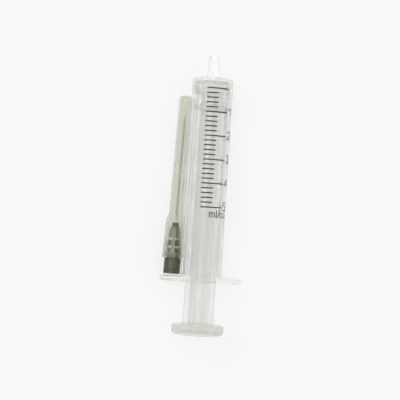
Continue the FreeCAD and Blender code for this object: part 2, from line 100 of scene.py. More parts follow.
def length(name, description, default):
    """A length in metres, shown with its unit."""
    return FloatProperty(
        name=name, description=description, default=default, unit="LENGTH", precision=5
    )


def angle(name, description, default):
    """An angle given in degrees and held in radians."""
    turn = math.radians(default)
    return FloatProperty(
        name=name, description=description, default=turn, subtype="ANGLE", unit="ROTATION"
    )


def ratio(name, description, default):
    """A plain number."""
    return FloatProperty(name=name, description=description, default=default)


def share(name, description, default):
    """A number from 0 to 1."""
    return FloatProperty(
        name=name, description=description, default=default, min=0.0, max=1.0, subtype="FACTOR"
    )


def count(name, description, default):
    """A whole number of at least one."""
    return IntProperty(name=name, description=description, default=default, min=1)


def colour(name, description, default):
    """A linear colour."""
    return FloatVectorProperty(
        name=name, description=description, default=default, size=3, min=0.0, max=1.0, subtype="COLOR"
    )


def spot(name, description, default):
    """A point in metres."""
    return FloatVectorProperty(
        name=name,
        description=description,
        default=default,
        size=3,
        subtype="XYZ",
        unit="LENGTH",
        precision=5,
    )


def heading(name, description, default):
    """A direction."""
    return FloatVectorProperty(
        name=name, description=description, default=default, size=3, subtype="DIRECTION"
    )


class BarrelSizes(bpy.types.PropertyGroup):
    """The clear barrel with its nozzle and flange."""

    bore: length("Bore", "Width of the bore", 0.0125)
    wall: length("Wall", "Thickness of the barrel's wall", 0.00085)
    shoulder: length("Shoulder", "Distance of the shoulder's corner from the open end", 0.0700635)
    shoulder_round: length("Shoulder rounding", "Radius of the shoulder", 0.0008)
    floor: length("Floor", "Distance of the bore's inner corner from the open end", 0.0690721)
    nozzle_start: length("Nozzle start", "Distance of the nozzle's root from the open end", 0.07075)
    nozzle_length: length("Nozzle length", "Length of the nozzle", 0.0075)
    nozzle_tip: length("Nozzle tip", "Width of the nozzle at its tip", 0.00398)
    nozzle_root: length("Nozzle root", "Width of the nozzle at its root", 0.00443)
    nozzle_bore: length("Nozzle bore", "Width of the hole through the nozzle", 0.0021)
    cone: angle("End cone", "Slope of the barrel's closed end", 8.0)
    flange_length: length("Flange length", "Length of the finger flange", 0.0285)
    flange_depth: length("Flange depth", "Depth of the finger flange", 0.0174)
    flange_thickness: length("Flange thickness", "Thickness of the finger flange", 0.0016)
    flange_round: length("Flange rounding", "Radius of the flange's rim", 0.0004)
    flange_root: length("Flange root", "Radius where the flange meets the barrel", 0.0009)
    mouth: length("Mouth", "Chamfer at the open end", 0.00035)
    bead: length("Stop bead", "Height of the bead that stops the plunger", 0.00015)
    bead_place: length("Bead place", "Distance of the bead from the open end", 0.0032)
    bead_width: length("Bead width", "Width of the stop bead", 0.001)


class PrintSizes(bpy.types.PropertyGroup):
    """The scale printed on the barrel."""

    zero: length("Zero mark", "Distance of the zero mark from the open end", 0.0664721)
    step: length("Step", "Distance between marks", 0.00162975)
    steps: count("Steps", "Number of steps on the scale", 25)
    per_number: count("Steps per number", "Steps from one number to the next", 5)
    start: angle("Start", "Where the marks start, from the top line", -14.3)
    short: angle("Short mark", "Angle that a short mark spans", 33.2)
    long: angle("Long mark", "Angle that a long mark spans", 64.7)
    stroke: length("Mark width", "Width of a printed mark", 0.00042)
    ink: length("Ink", "Thickness of the ink", 0.00003)
    number_stroke: length("Number stroke", "Width of a stroke in a number", 0.0004)
    number_stretch: ratio("Number stretch", "Width of a number against its height", 1.4)
    number_place: angle("Number place", "Middle of the numbers, from the top line", 66.5)
    number_height: length("Number height", "Height of the numbers", 0.0029)
    number_lift: length("Number lift", "How far the numbers stand over their marks", 0.0005)
    unit_stroke: length("Unit stroke", "Width of a stroke in the unit", 0.00033)
    unit_place: angle("Unit place", "Middle of the unit, from the top line", 41.5)
    unit_drop: length("Unit drop", "Distance of the unit's foot from the last mark", 0.0034)
    unit_height: length("Unit height", "Height of the small letters of the unit", 0.0017)


class PlungerSizes(bpy.types.PropertyGroup):
    """The plunger, fully pushed in."""

    seal: length("Seal radius", "Radius of the sealing lips", 0.00623)
    body: length("Head radius", "Radius of the head between the lips", 0.006)
    lip: length("Lip width", "Width of a sealing lip", 0.0007)
    nose: length("Nose", "Distance from the zero mark to the nose's corner", 0.0025351)
    nose_flat: length("Nose flat", "Radius of the flat on the nose", 0.0009)
    plate: length("Head plate", "Thickness of the head's front plate", 0.0014)
    head: length("Head length", "Length of the head", 0.007)
    disc: length("Head disc", "Thickness of the head's back disc", 0.0015)
    rib: length("Rib", "Thickness of a rib", 0.0012)
    reach: length("Rib reach", "Distance of a rib's edge from the axis", 0.00598)
    rib_root: length("Rib root", "Radius where two ribs meet", 0.0005)
    rib_tip: length("Rib tip", "Radius of a rib's corner", 0.00015)
    rib_end: length("Rib end", "Radius where a rib meets the thumb rest", 0.0006)
    turn: angle("Turn", "How far the ribs are turned from upright", -31.0)
    rest: length("Thumb rest", "Width of the thumb rest", 0.018)
    rest_thickness: length("Thumb rest thickness", "Thickness of the thumb rest", 0.0031)
    standoff: length("Standoff", "Distance of the thumb rest from the open end", 0.0151)
    inner_round: length("Inner rounding", "Radius of the thumb rest's inner rim", 0.0004)
    outer_round: length("Outer rounding", "Radius of the thumb rest's outer rim", 0.001)
    dish: length("Dish", "Width of the dish in the thumb rest", 0.014)
    dish_depth: length("Dish depth", "Depth of the dish", 0.0008)
    ring_spacing: length("Ring spacing", "Distance between the grip rings", 0.002)
    ring_width: length("Ring width", "Width of a grip ring", 0.0008)
    ring_height: length("Ring height", "Height of a grip ring", 0.0003)


class NeedleSizes(bpy.types.PropertyGroup):
    """The needle: hub, cannula, adhesive and sheath."""

    base: spot("Base", "Centre of the hub's base", (-0.010292, -0.0280558, 0.0039438))
    forward: heading(
        "Forward", "Direction from the base to the point", (0.0209349, 0.9994198, -0.0268655)
    )
    socket_mouth: length("Socket mouth", "Width of the luer socket at its mouth", 0.0043)
    socket_depth: length("Socket depth", "Depth of the luer socket", 0.0095)
    socket_chamfer: length("Socket chamfer", "Chamfer at the socket's mouth", 0.00025)
    hub_base: length("Hub base", "Width of the hub's base", 0.00586)
    hub_base_length: length("Hub base length", "Length of the hub's base", 0.0053)
    band: length("Band", "Width of the band that the sheath grips", 0.0053)
    band_length: length("Band length", "Length of the band", 0.0021)
    body_length: length("Body length", "Length of the hub's tapered body", 0.0089)
    body_foot: length("Body foot", "Width of the body at the band", 0.0046)
    body_top: length("Body top", "Width of the body at the neck", 0.003)
    neck: length("Neck", "Width of the neck", 0.0023)
    neck_length: length("Neck length", "Length of the neck", 0.00145)
    hub_ribs: count("Hub ribs", "Number of ribs on the hub's body", 4)
    hub_rib_width: length("Hub rib width", "Width of a rib on the hub", 0.00115)
    # A hub rib's edge is where a pale highlight is painted onto the black plastic
    hub_rib_edge: length("Hub rib edge", "Width of the frosted edge of a rib on the hub", 0.00025)
    hub_rib_height: length("Hub rib height", "Height of a rib on the hub", 0.0003)
    hub_rib_turn: angle("Hub rib turn", "How far the hub's ribs are turned", -8.0)
    hub_ring_width: length("Hub ring width", "Width of a ring on the hub", 0.0008)
    hub_ring_height: length("Hub ring height", "Height of a ring on the hub", 0.00022)
    first_ring: length("First ring", "Distance of the first ring from the band", 0.0019)
    second_ring: length("Second ring", "Distance of the second ring from the band", 0.0047)
    lugs: length("Lugs", "Width across the two lugs", 0.0078)
    lug_width: length("Lug width", "Width of a lug", 0.0034)
    lug_thickness: length("Lug thickness", "Thickness of the lugs", 0.001)
    lug_turn: angle("Lug turn", "How far the lugs are turned", 160.0)
    hub_round: length("Hub rounding", "Radius of the hub's edges", 0.00015)
    cannula: length("Cannula", "Width of the cannula", 0.00072)
    lumen: length("Lumen", "Width of the hole in the cannula", 0.00042)
    cannula_start: length("Cannula start", "Distance of the cannula's end from the base", 0.01165)
    cannula_tip: length("Cannula tip", "Distance of the point from the base", 0.05575)
    seat_gap: length("Seat gap", "Room between the cannula and its hole", 0.00002)
    bevel: angle("Bevel", "Angle of the point's long facet", 13.0)
    side_bevel: angle("Side bevel", "Angle of the point's two short facets", 19.0)
    side_turn: angle("Side turn", "How far the short facets are turned", 42.0)
    bond_height: length("Bead height", "Height of the adhesive bead", 0.00135)
    bond_top: length("Bead top", "Width of the adhesive bead at its top", 0.00095)
    bond_cup: length("Bead cup", "Width of the cup that the adhesive fills", 0.0016)
    bond_depth: length("Cup depth", "Depth of the cup that the adhesive fills", 0.0009)
    sheath_mouth: length("Sheath mouth", "Distance of the sheath's mouth from the base", 0.0054)
    sheath_length: length("Sheath length", "Length of the sheath", 0.057)
    sheath_wall: length("Sheath wall", "Thickness of the sheath", 0.0007)
    skirt_mouth: length("Skirt mouth", "Width of the skirt at its mouth", 0.0076)
    skirt_end: length("Skirt end", "Width of the skirt at its far end", 0.0065)
    skirt_length: length("Skirt length", "Length of the skirt", 0.013)
    skirt_slope: length("Skirt shoulder", "Length of the slope from skirt to tube", 0.0026)
    tube: length("Tube", "Width of the sheath's tube at the skirt", 0.0052)
    tube_tip: length("Tube tip", "Width of the sheath's tube at its tip", 0.0046)
    tip_round: length("Tip rounding", "Radius of the sheath's tip", 0.0012)
    rim_round: length("Rim rounding", "Radius of the sheath's rim", 0.0002)
    ridges: count("Ridges", "Number of grip ridges on the skirt", 12)
    ridge_width: length("Ridge width", "Width of a grip ridge", 0.0005)
    ridge_height: length("Ridge height", "Height of a grip ridge", 0.00015)
    ridge_inset: length("Ridge inset", "Distance of the ridges from the rim", 0.002)
    grips: count("Inner ribs", "Number of ribs inside the skirt", 6)
    grip_width: length("Inner rib width", "Width of a rib inside the skirt", 0.0005)
    grip_length: length("Inner rib length", "Length of a rib inside the skirt", 0.002)
    grip_clearance: length("Inner rib clearance", "Room between the inner ribs and the band", 0.0001)


class FinishColours(bpy.types.PropertyGroup):
    """The plastics, the ink and the steel."""

    barrel: colour("Barrel", "Natural polypropylene of the barrel", (0.99, 0.99, 0.98))
    barrel_rim: colour("Barrel edge", "The barrel's wall seen edge-on", (0.55, 0.56, 0.50))
    plunger: colour("Plunger", "Natural polypropylene of the plunger", (0.84, 0.84, 0.81))
    plunger_rim: colour("Plunger edge", "The plunger's ribs seen edge-on", (0.62, 0.63, 0.59))
    sheath: colour("Sheath", "Natural polypropylene of the sheath", (0.58, 0.59, 0.43))
    sheath_rim: colour("Sheath edge", "The sheath's wall seen edge-on", (0.46, 0.46, 0.30))
    depth: colour("Depth", "What light turns to as it goes through clear plastic", (0.62, 0.63, 0.50))
    hub: colour("Hub", "Black polypropylene of the hub", (0.055, 0.053, 0.024))
    # The hub's pale colour and the three shares below are a painted sheen: highlights painted on the
    # ribs' edges and on the rings, less of it on the ribs' crests, and a paler tone painted on the band
    # and on the body past the second ring
    hub_face: colour("Hub sheen", "Frosted edges and rings of the hub", (0.66, 0.67, 0.56))
    hub_crest_frost: share("Rib sheen", "How frosted the hub's ribs are between their edges", 0.25)
    hub_body_frost: share("Body frost", "How frosted the hub's body is past its second ring", 0.24)
    hub_band_frost: share("Band frost", "How frosted the hub's band is", 0.34)
    steel: colour("Steel", "Drawn steel of the cannula", (0.42, 0.42, 0.41))
    bond: colour("Adhesive", "Clear adhesive in the neck", (0.93, 0.93, 0.88))
    ink: colour("Ink", "Printing ink of the scale", (0.028, 0.042, 0.004))


class StageSettings(bpy.types.PropertyGroup):
    """Floor, light and camera."""

    floor: colour("Floor", "Colour of the floor", (0.9, 0.9, 0.9))
    floor_size: length("Floor size", "Length of the floor's sides", 4.0)
    lift: share("Floor lift", "Share of plain white in the floor as the camera sees it", 0.65)
    near: length("Near", "Distance at which the floor starts to fade to white", 0.15)
    far: length("Far", "Distance at which the floor has faded to white", 0.6)
    ambient: share("Ambient", "Strength of the white surroundings as a light", 0.5)
    distance: length("Camera distance", "Height of the camera over the barrel's axis", 0.38)
    width: length("View width", "Width that the picture shows at the barrel's axis", 0.1386)
    target: spot("Target", "Point that the camera looks at", (-0.001916, -0.00184, 0.008))
    lean: angle("Lean", "How far the barrel leans to the right in the picture", 3.652)


# Surfaces worked out as grids of rings about the Y axis


def place(origin, forward):
    """Matrix that carries +Y to forward, with X level, square to forward and to straight up, and Z
    square to both, on the upper side."""
    y = np.array(forward, dtype=float)
    y /= np.linalg.norm(y)
    x = np.cross(y, (0.0, 0.0, 1.0))
    x /= np.linalg.norm(x)
    matrix = np.eye(4)
    matrix[:3, :3] = np.column_stack((x, y, np.cross(x, y)))
    matrix[:3, 3] = origin
    return matrix


def barrel_place(context):
    """The barrel's matrix: its axis runs through the nozzle's mount, and its open end is at zero."""
    sizes = context.scene.syringe_barrel
    forward = np.array(NOZZLE["axis"], dtype=float)
    forward /= np.linalg.norm(forward)
    tip = sizes.nozzle_start + sizes.nozzle_length
    return place(np.array(NOZZLE["pos_m"]) - forward * tip, forward)


def needle_place(context):
    """The needle's matrix: the centre of the hub's base, pointing along the cannula."""
    sizes = context.scene.syringe_needle
    return place(sizes.base[:], sizes.forward[:])


def even_angles(number):
    """Angles round the axis at even steps, from +Z towards +X."""
    return np.arange(number) * (2 * math.pi / number)


def rounded(corners, steps=6):
    """Points along a profile of (y, r, radius) corners, where each corner's radius becomes an arc.

    The arc leaves one side at radius / tan(half the corner's angle) from the corner, and its points
    stand at the radius from a centre on the corner's bisector. It takes just under half of a side.
    """
    points = []
    for i, corner in enumerate(corners):
        here = np.array(corner[:2], dtype=float)
        radius = corner[2] if len(corner) > 2 else 0.0
        if radius <= 0.0:
            points.append(here[None])
            continue
        last = np.array(corners[i - 1][:2]) - here
        ahead = np.array(corners[i + 1][:2]) - here
        room = 0.49 * min(np.linalg.norm(last), np.linalg.norm(ahead))
        last /= np.linalg.norm(last)
        ahead /= np.linalg.norm(ahead)
        half = math.acos(np.clip(last @ ahead, -1.0, 1.0)) / 2
        radius = min(radius, room * math.tan(half))
        bisector = (last + ahead) / np.linalg.norm(last + ahead)
        centre = here + bisector * radius / math.sin(half)
        start = here + last * radius / math.tan(half) - centre
        end = here + ahead * radius / math.tan(half) - centre
        turn = math.acos(np.clip(start @ end / radius**2, -1.0, 1.0))
        along = np.linspace(0.0, 1.0, steps + 1)[:, None]
        arc = start * np.sin((1 - along) * turn) + end * np.sin(along * turn)
        points.append(centre + arc / math.sin(turn))
    return np.vstack(points)


def rings(y, radius, angles):
    """Points (x, y, z) of rings: x is r times the sine of the angle and z is r times its cosine."""
    rows = len(radius)
    y = np.broadcast_to(np.asarray(y, dtype=float).reshape(rows, -1), (rows, len(angles)))
    radius = np.broadcast_to(np.asarray(radius, dtype=float).reshape(rows, -1), y.shape)
    return np.stack((radius * np.sin(angles), y, radius * np.cos(angles)), axis=-1)


def mesh_object(name, vertices, faces, matrix, finish, sharp=30.0):
    """New object from an array of points and a list of face arrays, each of three or four columns."""
    vertices = vertices @ matrix[:3, :3].T + matrix[:3, 3]
    mesh = bpy.data.meshes.new(name)
    mesh.from_pydata(vertices.tolist(), [], [row for part in faces for row in part.tolist()])
    mesh.validate()
    mesh.shade_smooth()
    mesh.set_sharp_from_angle(angle=math.radians(sharp))
    mesh.materials.append(finish)
    thing = bpy.data.objects.new(name, mesh)
    bpy.context.scene.collection.objects.link(thing)
    return thing


def grid_faces(rows, columns, loop):
    """Four-cornered faces between each ring and the next, closed round the axis, and from the last
    ring back to the first where the profile is a loop."""
    index = np.arange(rows * columns).reshape(rows, columns)
    below = index if loop else index[:-1]
    above = np.roll(index, -1, axis=0) if loop else index[1:]
    corners = (below, np.roll(below, -1, axis=1), np.roll(above, -1, axis=1), above)
    return np.stack(corners, axis=-1).reshape(-1, 4)


def ringed(grid, closed_ends):
    """Points and faces of a grid of rings: a profile that loops back, or one whose first and last
    rings close on a pole at their own middle."""
    rows, columns, _ = grid.shape
    points = grid.reshape(-1, 3)
    faces = [grid_faces(rows, columns, not closed_ends)]
    if closed_ends:
        poles = np.stack((grid[0].mean(axis=0), grid[-1].mean(axis=0)))
        points = np.vstack((points, poles))
        first, last = np.arange(columns), np.arange(columns) + (rows - 1) * columns
        start, end = np.full(columns, rows * columns), np.full(columns, rows * columns + 1)
        faces.append(np.stack((start, np.roll(first, -1), first), axis=-1))
        faces.append(np.stack((end, last, np.roll(last, -1)), axis=-1))
    return points, faces


def window(distance, half_width, blend):
    """One inside half_width and none outside it. Over a width of blend at each side it falls as
    three times the square of the share left, less twice its cube."""
    t = np.clip((half_width + blend / 2 - np.abs(distance)) / blend, 0.0, 1.0)
    return t * t * (3 - 2 * t)


def bars_round(angles, number, turn, radius, width, blend):
    """How much of a bar covers each angle, for bars of one width spaced evenly round the axis: the
    window of the angle from the nearest bar's middle, times the radius."""
    pitch = 2 * math.pi / number
    offset = (angles - turn + pitch / 2) % pitch - pitch / 2
    return window(offset * radius, width / 2, blend)


def half_chord(radius, distance):
    """Half the length of a circle's chord at a distance from its centre: the root of the radius
    squared less the distance squared, and none outside the circle."""
    return np.sqrt(np.maximum(radius**2 - distance**2, 0.0))


# Finishes


class Nodes:
    """Short ways to add nodes to a tree and to feed their sockets."""

    def __init__(self, tree):
        self.tree = tree

    def own(self, kind):
        """The node of a kind that the tree came with."""
        return next(node for node in self.tree.nodes if node.type == kind)

    def feed(self, node, inputs):
        """Link each of a node's named inputs to an output, or set it to a plain value."""
        for key, value in inputs.items():
            if isinstance(value, bpy.types.NodeSocket):
                self.tree.links.new(value, node.inputs[key])
            else:
                node.inputs[key].default_value = value
        return node

    def add(self, kind, inputs=None, **settings):
        """A new shader node, with its settings made before its inputs are fed."""
        node = self.tree.nodes.new("ShaderNode" + kind)
        for key, value in settings.items():
            setattr(node, key, value)
        return self.feed(node, inputs or {})

    def points(self, scale=None):
        """Object coordinates, scaled along each axis where a pattern is drawn out."""
        place_in = self.add("TexCoord").outputs["Object"]
        if scale is None:
            return place_in
        return self.add("Mapping", {"Vector": place_in, "Scale": scale}).outputs["Vector"]

    def noise(self, points, scale, detail, roughness=0.5):
        """Cloudy noise from 0 to 1."""
        inputs = {"Vector": points, "Scale": scale, "Detail": detail, "Roughness": roughness}
        return self.add("TexNoise", inputs).outputs["Fac"]

    def math(self, operation, *values, clamp=False):
        """The outcome of one sum."""
        inputs = dict(enumerate(values))
        return self.add("Math", inputs, operation=operation, use_clamp=clamp).outputs[0]

    def between(self, value, low, high):
        """A value from 0 to 1 carried to the run from low to high."""
        inputs = {"Value": value, "To Min": low, "To Max": high}
        return self.add("MapRange", inputs).outputs["Result"]

    def blend(self, value, first, second):
        """The first colour where the value is 0, and the second where it is 1."""
        inputs = {"Factor": value, "A": first, "B": second}
        return self.add("Mix", inputs, data_type="RGBA").outputs["Result"]

    def mottled(self, value, tint, dark, light):
        """The tint times dark where the value is 0, and times light, up to white, where it is 1."""
        ends = [(*[min(1.0, c * strength) for c in tint], 1.0) for strength in (dark, light)]
        return self.blend(value, *ends)

    def bump(self, height, strength, distance, normal=None):
        """A surface raised by a height, over one that is raised already where a normal is given."""
        inputs = {"Height": height, "Strength": strength, "Distance": distance}
        if normal is not None:
            inputs["Normal"] = normal
        return self.add("Bump", inputs).outputs["Normal"]

    def in_sight(self):
        """One on rays from the camera and on those that gloss or clear plastic passes on."""
        path = self.add("LightPath")
        seen = path.outputs["Is Camera Ray"]
        for ray in ("Is Glossy Ray", "Is Transmission Ray"):
            seen = self.math("MAXIMUM", seen, path.outputs[ray])
        return seen


def new_finish(name):
    """A new material, its nodes and its Principled shader."""
    finish = bpy.data.materials.new(name)
    finish.use_nodes = True
    nodes = Nodes(finish.node_tree)
    return finish, nodes, nodes.own("BSDF_PRINCIPLED")


# How clear each plastic is: the roughness of its skin, the share of light that is bent and not
# scattered, the share that doesn't go straight through a face seen square on (body) and one seen
# edge-on (edge), the density of its depth, and the scale of its flow streaks
CLEAR_PLASTICS = {
    "clear_barrel": dict(roughness=0.05, bent=1.0, body=0.25, edge=0.8, density=5.0, streak=900.0),
    "natural_plunger": dict(roughness=0.22, bent=0.75, body=0.32, edge=0.8, density=35.0, streak=700.0),
    "clear_sheath": dict(roughness=0.06, bent=0.9, body=0.3, edge=0.85, density=60.0, streak=900.0),
    "clear_adhesive": dict(roughness=0.2, bent=0.1, body=0.95, edge=1.0, density=4.0, streak=2500.0),
}
PLASTIC_IOR = 1.49

# How steeply a clear wall takes its edge-on look as it leans away
EDGE_POWER = 2.5

# How strongly the cloud breaks up the hub's painted sheen, and how much rougher the plastic is made
# where the sheen is painted
SHEEN_CONTRAST = 1.7
SHEEN_ROUGHNESS = 0.25

# How much longer than wide the flow streaks of a plastic and the lines of drawn steel are, as the
# scale of their pattern along each axis
STREAKS = (1.0, 0.06, 1.0)
DRAWN_LINES = (1.0, 0.02, 1.0)


def moulded_clear(name, tint, rim):
    """Clear polypropylene: most light goes straight through its thin walls, the rest is bent or
    scattered, and more of it where the wall is seen edge-on, where it also takes the rim's tint. Its
    colour, roughness and surface vary with long flow streaks along the moulding and a fine grain."""
    plastic = CLEAR_PLASTICS[name]
    smooth = plastic["roughness"]
    finish, nodes, shader = new_finish(name)
    flow = nodes.noise(nodes.points(STREAKS), scale=plastic["streak"], detail=4.0, roughness=0.55)
    grain = nodes.noise(nodes.points(), scale=9000.0, detail=2.0)
    facing = nodes.add("LayerWeight", {"Blend": 0.5}).outputs["Facing"]
    edge_on = nodes.math("POWER", facing, EDGE_POWER)
    streaked = nodes.mottled(flow, tint, dark=0.955, light=1.03)
    waves = nodes.bump(flow, strength=0.06, distance=0.0003)
    nodes.feed(shader, {
        "Base Color": nodes.blend(edge_on, streaked, (*rim, 1.0)),
        "Roughness": nodes.between(flow, low=smooth * 0.7, high=smooth * 1.4),
        "Alpha": nodes.between(edge_on, low=plastic["body"], high=plastic["edge"]),
        "Normal": nodes.bump(grain, strength=0.08, distance=0.00002, normal=waves),
        "IOR": PLASTIC_IOR,
        "Transmission Weight": plastic["bent"],
    })
    depth = {
        "Color": (*bpy.context.scene.syringe_finish.depth, 1.0),
        "Density": plastic["density"],
    }
    volume = nodes.add("VolumeAbsorption", depth).outputs["Volume"]
    nodes.feed(nodes.own("OUTPUT_MATERIAL"), {"Volume": volume})
    return finish


def hub_plastic(tint, face):
    """Black moulded plastic with a satin skin, a fine grain and a little uneven sheen. The piece's own
    attribute says where a painted sheen goes: highlights painted along the ribs' edges and on the rings,
    and a paler tone painted on the band and on the body past its second ring. There it is paler and
    rougher."""
    finish, nodes, shader = new_finish("black_hub_plastic")
    place_in = nodes.points()
    cloud = nodes.noise(place_in, scale=700.0, detail=4.0)
    grain = nodes.noise(place_in, scale=12000.0, detail=3.0)
    # Painted sheen: where the attribute says so, a pale colour stands in for highlights on the ribs and
    # rings and for a paler band and body
    sheened = nodes.add("Attribute", attribute_name="sheened").outputs["Fac"]
    clouded = nodes.math("MULTIPLY", sheened, cloud)
    sheen_share = nodes.math("MULTIPLY", clouded, SHEEN_CONTRAST, clamp=True)
    black = nodes.mottled(cloud, tint, dark=0.7, light=1.6)
    satin = nodes.between(cloud, low=0.22, high=0.36)
    nodes.feed(shader, {
        "Base Color": nodes.blend(sheen_share, black, (*face, 1.0)),
        "Roughness": nodes.math("MULTIPLY_ADD", sheen_share, SHEEN_ROUGHNESS, satin),
        "Normal": nodes.bump(grain, strength=0.25, distance=0.00002),
        "IOR": PLASTIC_IOR,
    })
    return finish


def drawn_steel(tint):
    """Bright drawn steel: fine lines along the tube break up its roughness and surface."""
    finish, nodes, shader = new_finish("drawn_steel")
    lines = nodes.noise(nodes.points(DRAWN_LINES), scale=26000.0, detail=3.0)
    nodes.feed(shader, {
        "Base Color": nodes.mottled(lines, tint, dark=0.86, light=1.12),
        "Roughness": nodes.between(lines, low=0.3, high=0.5),
        "Normal": nodes.bump(lines, strength=0.2, distance=0.00001),
        "Metallic": 1.0,
    })
    return finish


def printing_ink(tint):
    """Dark ink with the slight mottle of a pad print."""
    finish, nodes, shader = new_finish("scale_ink")
    mottle = nodes.noise(nodes.points(), scale=5200.0, detail=5.0, roughness=0.7)
    nodes.feed(shader, {
        "Base Color": nodes.mottled(mottle, tint, dark=0.6, light=1.7),
        "Roughness": nodes.between(mottle, low=0.35, high=0.6),
        "Specular IOR Level": 0.2,
    })
    return finish


def settled(thing, body, slot, *nodes):
    """The piece rides on its body and stands for its CAD nodes, which it hides. The slot is not used."""
    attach(thing, body)
    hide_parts(*nodes)
    return {"FINISHED"}


# Pieces


class SYRINGE_OT_barrel(bpy.types.Operator):
    """Build the barrel: one wall turned about the axis, with a flange that is flat on two sides"""

    bl_idname = "syringe.barrel"
    bl_label = "Barrel"

    def execute(self, context):
        """Each ring's radius is the profile's own, except at the flange, where it is the distance
        from the axis to an outline with two straight sides and two round ends."""
        s = context.scene.syringe_barrel
        angles = even_angles(BARREL_SIDES)
        outer = s.bore / 2 + s.wall
        edge, back = s.flange_round, s.flange_thickness
        tip_y = s.nozzle_start + s.nozzle_length
        cone_end = s.floor + (s.bore - s.nozzle_bore) / 2 * math.tan(s.cone)

        def flange(inset):
            """Radius of the outline moved in by inset: half the depth over the cosine on a straight
            side, and the distance along the ray to the half circle at an end."""
            half = s.flange_depth / 2 - inset
            middle = (s.flange_length - s.flange_depth) / 2
            sine, cosine = np.abs(np.sin(angles)), np.abs(np.cos(angles))
            flat = half / np.maximum(cosine, TINY)
            end = middle * sine + half_chord(half, middle * cosine)
            return np.where(flat * sine <= middle, flat, end)

        turn = np.linspace(0.0, math.pi / 2, 6)
        rim_y = np.concatenate((edge - edge * np.cos(turn), back - edge + edge * np.sin(turn)))
        rim_in = np.concatenate((edge - edge * np.sin(turn), edge - edge * np.cos(turn)))
        rim = np.stack([flange(inset) for inset in rim_in])
        profile = rounded([
            (back, s.flange_depth / 2 - edge),
            (back, outer, s.flange_root),
            (s.shoulder, outer, s.shoulder_round),
            (s.nozzle_start, s.nozzle_root / 2, FULL),
            (tip_y, s.nozzle_tip / 2, SLIGHT),
            (tip_y, s.nozzle_bore / 2, KEEN),
            (cone_end, s.nozzle_bore / 2, SOFT),
            (s.floor, s.bore / 2, SOFT),
            (s.bead_place + s.bead_width / 2, s.bore / 2, SOFT),
            (s.bead_place, s.bore / 2 - s.bead, s.bead_width),
            (s.bead_place - s.bead_width / 2, s.bore / 2, SOFT),
            (s.mouth, s.bore / 2),
            (0.0, s.bore / 2 + s.mouth),
        ])[1:]
        grid = np.concatenate((rings(rim_y, rim, angles), rings(*profile.T, angles)))
        points, faces = ringed(grid, False)
        look = context.scene.syringe_finish
        finish = moulded_clear("clear_barrel", look.barrel, look.barrel_rim)
        thing = mesh_object("barrel_moulding", points, faces, barrel_place(context), finish)
        return settled(thing, "barrel", "clear_barrel", "barrel")


def arc(right, up, radius, start, end, squash=1.0):
    """Pen points on an ellipse about (right, up), from one angle in degrees to another: the squash
    is its height against its width."""
    t = np.radians(np.linspace(start, end, 15))
    return np.stack((right + radius * np.cos(t), up + radius * squash * np.sin(t)), axis=-1)


def line(*points):
    """Pen points joined by straight runs."""
    return np.array(points, dtype=float)


# Pen paths of each character as (right, up) points, with a number's top at about 0.95 and a small
# letter's at 1, and how wide each character is
PEN_PATHS = {
    "1": [line((-0.14, 0.74), (0.04, 0.95), (0.04, 0.0))],
    "2": [
        np.vstack((arc(0.0, 0.7, 0.27, 165, -38), line((-0.3, 0.05)))),
        line((-0.32, 0.05), (0.32, 0.05)),
    ],
    "3": [arc(-0.01, 0.715, 0.24, 150, -90), arc(-0.01, 0.265, 0.265, 90, -150, 0.83)],
    "4": [line((0.13, 0.0), (0.13, 0.95), (-0.3, 0.28), (0.34, 0.28))],
    "5": [
        np.vstack((line((0.26, 0.95), (-0.2, 0.95), (-0.25, 0.52)), arc(-0.02, 0.32, 0.3, 128, -140))),
    ],
    "m": [
        line((-0.54, 0.96), (-0.54, 0.0)),
        np.vstack((arc(-0.27, 0.69, 0.27, 180, 0, 0.9), line((0.0, 0.0)))),
        np.vstack((arc(0.27, 0.69, 0.27, 180, 0, 0.9), line((0.54, 0.0)))),
    ],
    "l": [line((0.0, 1.4), (0.0, 0.0))],
    "/": [line((0.2, 1.4), (-0.2, 0.0))],
    "c": [arc(0.0, 0.47, 0.4, 42, 318, 1.12)],
}
LETTER_WIDTHS = {"m": 1.45, "l": 0.5, "/": 0.6, "c": 1.0}
NUMBER_WIDTH = 0.9
UNIT = "ml/cc"

# Longest run between two points of a pen path, in metres, and points along a mark
PEN_STEP = 0.0002
MARK_POINTS = 40

# Least share of its width that a pen stroke keeps at a sharp corner
CORNER_LIMIT = 0.6


def ribbon(path, width):
    """Left and right edges of a pen stroke: each point moves half the width along the mean of its
    neighbours' normals, and the two ends run on by a third of the width."""
    ahead = np.diff(path, axis=0)
    ahead /= np.linalg.norm(ahead, axis=1)[:, None]
    path = path.copy()
    path[0] -= ahead[0] * width / 3
    path[-1] += ahead[-1] * width / 3
    normals = np.stack((-ahead[:, 1], ahead[:, 0]), axis=-1)
    mean = np.vstack((normals[:1], normals[:-1] + normals[1:], normals[-1:]))
    mean /= np.linalg.norm(mean, axis=1)[:, None]
    along = (mean * np.vstack((normals[:1], normals))).sum(axis=1)
    side = mean * (width / 2 / np.maximum(along, CORNER_LIMIT))[:, None]
    return path + side, path - side


def finer(path, step):
    """The path with each run cut in the fewest equal parts that are no longer than step."""
    runs = np.linalg.norm(np.diff(path, axis=0), axis=1)
    counts = np.maximum(np.ceil(runs / step).astype(int), 1)
    at = np.concatenate([i + np.arange(n) / n for i, n in enumerate(counts)] + [[float(len(runs))]])
    places = np.arange(len(path))
    return np.stack((np.interp(at, places, path[:, 0]), np.interp(at, places, path[:, 1])), axis=-1)


def inked(left, right, radius, ink):
    """Closed strip of ink on a cylinder between two edges of (round, along) points.

    Each section has four corners: both edges on the wall and both raised by the ink's thickness.
    The angle is the distance round divided by the radius.
    """
    rows = []
    for edge, r in ((left, radius), (left, radius + ink), (right, radius + ink), (right, radius)):
        turn = edge[:, 0] / radius
        rows.append(np.stack((r * np.sin(turn), edge[:, 1], r * np.cos(turn)), axis=-1))
    points = np.stack(rows, axis=1).reshape(-1, 3)
    index = np.arange(len(points)).reshape(-1, 4)
    return points, [grid_faces(len(left), 4, False), index[:1, ::-1], index[-1:]]


